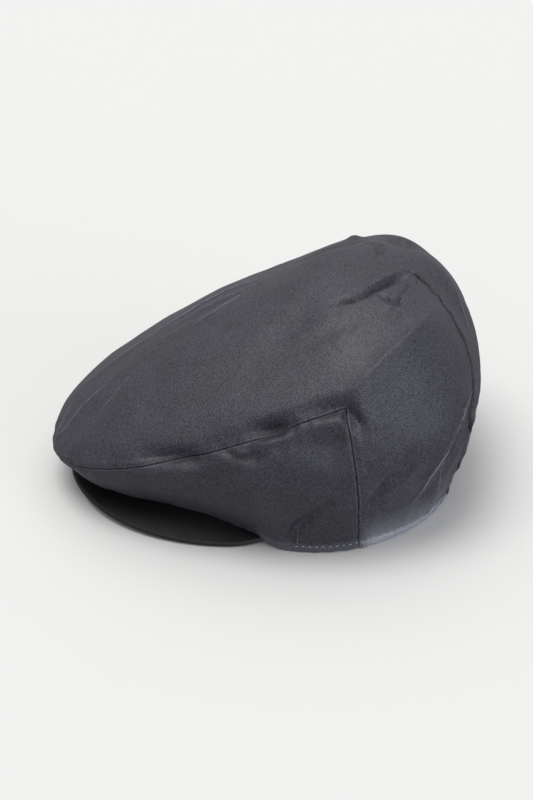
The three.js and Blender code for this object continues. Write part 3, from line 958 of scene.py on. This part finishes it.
class CAP_OT_top_panel(bpy.types.Operator):
    """The one-piece top panel, over the crown and down the back to the hem"""

    bl_idname = "cap.top_panel"
    bl_label = "Top Panel"

    def execute(self, context):
        settings = context.scene.flat_cap
        step = settings.mesh_step
        seam = REAR_SEAM_ANGLE
        angles = np.concatenate(
            [
                columns_between(-180, -seam, BACK_HALF_ROUND, step)[:-1],
                columns_between(-seam, 0, FRONT_HALF_ROUND, step)[:-1],
                columns_between(0, seam, FRONT_HALF_ROUND, step)[:-1],
                columns_between(seam, 180, BACK_HALF_ROUND, step)[:-1],
            ]
        )
        sides = lines_between(SIDE_LENGTH, step)
        tops = 1 + lines_between(TOP_LENGTH, step, close_end=False)
        levels = np.concatenate([sides[:-1], tops[:-1]])
        shoulder_row, last_row = len(sides) - 1, len(levels) - 1
        if last_row % 2:
            levels, last_row = np.delete(levels, -2), last_row - 1
        behind = np.abs(angles) >= seam - 0.001
        numbers, grid = {}, []
        for r, level in enumerate(levels):
            for c, angle in enumerate(angles):
                if r >= shoulder_row or behind[c]:
                    numbers[c, r] = len(grid)
                    grid.append((angle, level))
        grid = np.array([*grid, (0.0, 2.0)])
        turned = np.abs(grid[:, 0])
        on_upright = (np.abs(turned - seam) < 0.001) & (grid[:, 1] <= 1)
        on_side = (turned <= seam + 0.001) & (np.abs(grid[:, 1] - 1) < 1e-6)
        grid[:, 0] = shear_to_dart(grid[:, 0], grid[:, 1])
        backwards = np.sign(grid[:, 0]) * on_upright
        grid = np.stack(off_seam(*grid.T, backwards, np.where(on_side, 1, 0)), axis=1)

        def keep(c, r):
            on_back = behind[c] and behind[c + 1] and behind[(c + 2) % len(angles)]
            return r >= shoulder_row or on_back

        cells = blocks(len(angles), last_row + 1, keep, closed=True)
        piece = build_wall("top_panel_cloth", grid, numbers, cells, pole=len(grid) - 1, pole_row=last_row)
        colours = settings.crown_wax, settings.top_yarn, settings.pale_wax_and_painted_sheen
        cloth = waxed_cotton("waxed_cotton_top", *colours)
        finish_piece(piece, "top_panel", cloth)
        return {"FINISHED"}


class CAP_OT_side_panels(bpy.types.Operator):
    """The two side panels, between the hem or peak, the side seam and the upright seams"""

    bl_idname = "cap.side_panels"
    bl_label = "Side Panels"

    def execute(self, context):
        settings = context.scene.flat_cap
        step = settings.mesh_step
        # The sides' cloth is the top's with darker yarn, a painted shade
        colours = settings.crown_wax, settings.side_yarn_painted_shade, settings.pale_wax_and_painted_sheen
        cloth = waxed_cotton("waxed_cotton_sides", *colours)
        for name, side in (("left", 1), ("right", -1)):
            first, last = sorted((0, side * REAR_SEAM_ANGLE))
            angles = columns_between(first, last, FRONT_HALF_ROUND, step)
            levels = lines_between(SIDE_LENGTH, step)
            angle, level = (g.ravel() for g in np.meshgrid(angles, levels, indexing="ij"))
            at_front = np.abs(angle) < 0.001
            at_upright = np.abs(np.abs(angle) - REAR_SEAM_ANGLE) < 0.001
            angle_sign = np.where(at_front, side, 0) + np.where(at_upright, -side, 0)
            level_sign = np.where(np.abs(level - 1) < 1e-6, -1, 0)
            grid = np.stack(off_seam(angle, level, angle_sign, level_sign), axis=1)
            rows = len(levels)
            numbers = {(k // rows, k % rows): k for k in range(len(grid))}
            cells = blocks(len(angles), rows, lambda c, r: True, closed=False)
            piece = build_wall(f"side_panel_{name}_cloth", grid, numbers, cells)
            finish_piece(piece, f"side_panel_{name}", cloth)
        return {"FINISHED"}


class CAP_OT_peak(bpy.types.Operator):
    """The stiff curved peak, wrapped in waxed cotton"""

    bl_idname = "cap.peak"
    bl_label = "Peak"

    def execute(self, context):
        settings = context.scene.flat_cap
        steps = PEAK_STEPS_ROUND
        turns = np.linspace(-1, 1, steps + 1)
        outer_turn = np.radians(PEAK_OUTER_TURN) * turns
        inner_turn = np.radians(PEAK_INNER_TURN) * turns
        along = np.where(np.cos(outer_turn) > 0, PEAK_FRONT, PEAK_BACK)
        outer_y = AXIS_Y + PEAK_CENTRE_Y - along * np.cos(outer_turn)
        outer = np.stack([PEAK_HALF_WIDTH * np.sin(outer_turn), outer_y], -1)
        inner_y = AXIS_Y - PEAK_INNER_FRONT * np.cos(inner_turn)
        inner = np.stack([PEAK_INNER_SIDE * np.sin(inner_turn), inner_y], -1)
        half = PEAK_THICKNESS / 2
        # The ring goes once round the board: bottom, outer edge, top and inner edge. Each point has its
        # share of the way across, its step past the edge, and its height from the board's middle.
        rounding = np.linspace(-math.pi / 2, math.pi / 2, PEAK_STEPS_EDGE)[1:-1]
        ring = [(u, 0, -half) for u in np.linspace(0, 1, PEAK_STEPS_ACROSS)]
        ring += [(1, half * math.cos(a), half * math.sin(a)) for a in rounding]
        ring += [(u, 0, half) for u in np.linspace(1, 0, PEAK_STEPS_ACROSS)]
        ring += [(0, -half * math.cos(a), half * math.sin(a)) for a in -rounding]
        verts = []
        for turn, out, into in zip(turns, outer, inner):
            inner_rise = PEAK_INNER_RISE * (1 - smoothstep(abs(turn), *PEAK_RISE_FADES))
            length = np.linalg.norm(out - into)
            direction = (out - into) / length
            start, end = into + direction * half, out - direction * half
            for across, step_out, height in ring:
                flat = start + (end - start) * across + direction * step_out
                risen = peak_bottom(flat[0]) + inner_rise * (1 - across)
                verts.append((flat[0], flat[1], risen + half + height))
        count = len(ring)
        faces = []
        for k in range(steps):
            for m in range(count):
                a, b = k * count + m, k * count + (m + 1) % count
                faces.append((a, a + count, b + count, b))
        faces.append(tuple(range(count)))
        faces.append(tuple(steps * count + m for m in reversed(range(count))))
        mesh = bpy.data.meshes.new("peak_board")
        mesh.from_pydata(verts, [], faces)
        # The pale wax colour laid along the lower half of the outer edge is a painted highlight.
        rim = [
            RIM_PAINTED_HIGHLIGHT * bell(abs(height + 0.6 * half), 0.6 * half) if step_out > 0 else 0
            for across, step_out, height in ring
        ]
        rim = np.tile(np.array(rim, np.float32), steps + 1)
        mesh.attributes.new("wax_wear_and_painted_sheen", "FLOAT", "POINT").data.foreach_set("value", rim)
        mesh.shade_smooth()
        mesh.set_sharp_from_angle(angle=math.radians(60))
        piece = add_object("peak_board", mesh)
        # This mesh has no dart_distance, so the dart's dark colour, a painted shade, covers the peak's
        # yarns and rim.
        colours = linear("#232327"), linear("#43434a"), settings.pale_wax_and_painted_sheen
        cloth = waxed_cotton("waxed_cotton_peak", *colours, specular=0.5)
        finish_piece(piece, "peak", cloth)
        return {"FINISHED"}


def stitch_paths():
    """The rows of stitches, each with its thread, the angles and levels of its seam, and how far round and
    up from the seam it lies: round the hem, over the side seams, behind the upright seams and the dart."""
    hem = np.arange(86.0, 274.1, 0.5)
    yield "hem", hem, np.zeros(len(hem)), 0, ROW_OFF_HEM
    climb = np.linspace(0.03, 0.97, 90)
    for side in (1, -1):
        round_front = np.arange(0.5, REAR_SEAM_ANGLE - 1.0, 0.5) * side
        yield "seam", round_front, np.ones(len(round_front)), 0, ROW_OFF_SEAM
        upright = np.full(len(climb), float(REAR_SEAM_ANGLE * side))
        yield "seam", upright, climb, side * ROW_OFF_SEAM, 0
    dart = np.linspace(0.03, BACK_DART_TOP - 0.02, 140)
    yield "seam", dart_angle(dart), dart, ROW_OFF_SEAM, 0


class CAP_OT_stitching(bpy.types.Operator):
    """The rows of stitches round the hem and beside the seams"""

    bl_idname = "cap.stitching"
    bl_label = "Stitching"

    def execute(self, context):
        settings = context.scene.flat_cap
        tree = stitch_row_tree()
        threads = {
            "hem": sewing_thread("sewing_thread_hem", settings.hem_thread),
            "seam": sewing_thread("sewing_thread_seam", settings.seam_thread),
        }
        for kind, thread in threads.items():
            verts, normals, edges = [], [], []
            for row_kind, angle, level, across, up in stitch_paths():
                if row_kind != kind:
                    continue
                per_degree, per_level = metres_per_step(angle, level)
                points, normal, *_ = cloth_points(angle + across / per_degree, level + up / per_level)
                first = len(verts)
                verts += (points + normal * THREAD_LIFT).tolist()
                normals += normal.tolist()
                edges += [(k, k + 1) for k in range(first, len(verts) - 1)]
            path = bpy.data.meshes.new(f"{kind}_stitch_path")
            path.from_pydata(verts, edges, [])
            attribute = path.attributes.new("cloth_normal", "FLOAT_VECTOR", "POINT")
            attribute.data.foreach_set("vector", np.array(normals, np.float32).ravel())
            carrier = add_object(f"{kind}_stitch_path", path)
            modifier = carrier.modifiers.new("stitches", "NODES")
            modifier.node_group = tree
            given = {
                "Pitch": settings.stitch_pitch,
                "Stitch Length": settings.stitch_length,
                "Thread Width": settings.thread_width,
                "Thread": thread,
            }
            for item in tree.interface.items_tree:
                if item.name in given:
                    modifier[item.identifier] = given[item.name]
            evaluated = carrier.evaluated_get(context.evaluated_depsgraph_get())
            mesh = bpy.data.meshes.new_from_object(evaluated)
            bpy.data.objects.remove(carrier)
            if not mesh.polygons:
                raise RuntimeError(f"The {kind} stitches came out empty")
            piece = add_object(f"{kind}_stitching", mesh)
            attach(piece, "root")
        return {"FINISHED"}


# Camera: where it stands round the cap, what it looks at, and where in the picture that falls
CAMERA_AZIMUTH = 93.4
CAMERA_ELEVATION = 32.2
CAMERA_ROLL = -1.3
CAMERA_DISTANCE = 1.995
CAMERA_TARGET = (0, AXIS_Y - 0.0214, 0.0589)
PIXELS_PER_METRE = 1655
FRAME_WIDTH = 533
FRAME_HEIGHT = 800
TARGET_PIXEL = (276.1, 389.6)
SENSOR = 0.036

FLOOR_SIZE = 30
FLOOR_COLOUR = "#e7e6e4"
WORLD_COLOUR = (0.93, 0.955, 1, 1)
WORLD_STRENGTH = 0.33


class Softbox(NamedTuple):
    """A large soft light, so far off that it lights the whole floor evenly. Towards points from the cap
    to it, and spread is how wide it looks from there, in degrees."""

    name: str
    towards: tuple
    strength: float
    spread: float
    colour: tuple


SOFTBOXES = (
    Softbox("overhead_softbox", (-0.1, 0.0, 1.0), 0.85, 80, (1, 0.99, 0.98)),
    Softbox("key_softbox", (0.07, -0.2, 0.97), 1.35, 36, (1, 0.99, 0.98)),
    Softbox("side_softbox", (1.0, -0.1, 0.12), 0.35, 60, (0.95, 0.97, 1)),
    Softbox("low_rear_softbox", (0.6, 0.8, 0.06), 1.4, 50, (0.88, 0.93, 1)),
    Softbox("far_softbox", (-0.85, 0.05, 0.5), 0.35, 100, (1, 1, 1)),
)


class CAP_OT_stage(bpy.types.Operator):
    """A pale floor, soft light and the camera"""

    bl_idname = "cap.stage"
    bl_label = "Stage"

    def execute(self, context):
        scene = context.scene
        scene.view_settings.view_transform = "Standard"
        bpy.ops.mesh.primitive_plane_add(size=FLOOR_SIZE)
        floor = context.active_object
        floor.name = "floor"
        floor.data.materials.append(matte_paper())
        # The floor's reflection would make the low sides and the peak brighter than the photo shows them.
        floor.visible_glossy = False
        world = bpy.data.worlds.new("studio")
        world.use_nodes = True
        background = world.node_tree.nodes["Background"].inputs
        background["Color"].default_value = WORLD_COLOUR
        background["Strength"].default_value = WORLD_STRENGTH
        scene.world = world
        for name, towards, strength, spread, colour in SOFTBOXES:
            light = bpy.data.lights.new(name, "SUN")
            light.energy = strength
            light.color = colour
            light.angle = math.radians(spread)
            lamp = add_object(name, light)
            lamp.rotation_euler = (-Vector(towards)).to_track_quat("-Z", "Y").to_euler()
        self.camera(context)
        return {"FINISHED"}

    @staticmethod
    def camera(context):
        """Stands the camera so that the target falls on its pixel of the photo."""
        a, e = math.radians(CAMERA_AZIMUTH), math.radians(CAMERA_ELEVATION)
        back = Vector((math.sin(a) * math.cos(e), -math.cos(a) * math.cos(e), math.sin(e)))
        right = Vector((math.cos(a), math.sin(a), 0))
        up = back.cross(right)
        off_x = (FRAME_WIDTH / 2 - TARGET_PIXEL[0]) / PIXELS_PER_METRE
        off_y = (TARGET_PIXEL[1] - FRAME_HEIGHT / 2) / PIXELS_PER_METRE
        target = Vector(CAMERA_TARGET) + right * off_x + up * off_y
        roll = Matrix.Rotation(math.radians(CAMERA_ROLL), 3, back)
        data = bpy.data.cameras.new("camera")
        data.sensor_width = SENSOR * 1000
        data.lens = PIXELS_PER_METRE * CAMERA_DISTANCE / FRAME_HEIGHT * SENSOR * 1000
        data.clip_start, data.clip_end = 0.1, 50
        camera = add_object("camera", data)
        rotation = Matrix((roll @ right, roll @ up, roll @ back)).transposed()
        camera.matrix_world = Matrix.Translation(target + back * CAMERA_DISTANCE) @ rotation.to_4x4()
        context.scene.camera = camera


class CAP_PT_sidebar(bpy.types.Panel):
    """The cap's settings, and its pieces in the order in which they are made"""

    bl_label = "Flat Cap"
    bl_space_type = "VIEW_3D"
    bl_region_type = "UI"
    bl_category = "Flat Cap"

    def draw(self, context):
        settings = context.scene.flat_cap
        for name in settings.bl_rna.properties.keys():
            if name not in ("rna_type", "name"):
                self.layout.prop(settings, name)
        for operator in OPERATORS:
            self.layout.operator(operator.bl_idname)


OPERATORS = (CAP_OT_top_panel, CAP_OT_side_panels, CAP_OT_peak, CAP_OT_stitching, CAP_OT_stage)
CLASSES = (CapSettings, *OPERATORS, CAP_PT_sidebar)


def register():
    for cls in CLASSES:
        bpy.utils.register_class(cls)
    bpy.types.Scene.flat_cap = PointerProperty(type=CapSettings)


def unregister():
    del bpy.types.Scene.flat_cap
    for cls in reversed(CLASSES):
        bpy.utils.unregister_class(cls)


def main():
    register()
    bpy.ops.cap.stage()
    bpy.ops.cap.top_panel()
    bpy.ops.cap.side_panels()
    bpy.ops.cap.peak()
    bpy.ops.cap.stitching()


if __name__ == "__main__":
    main()
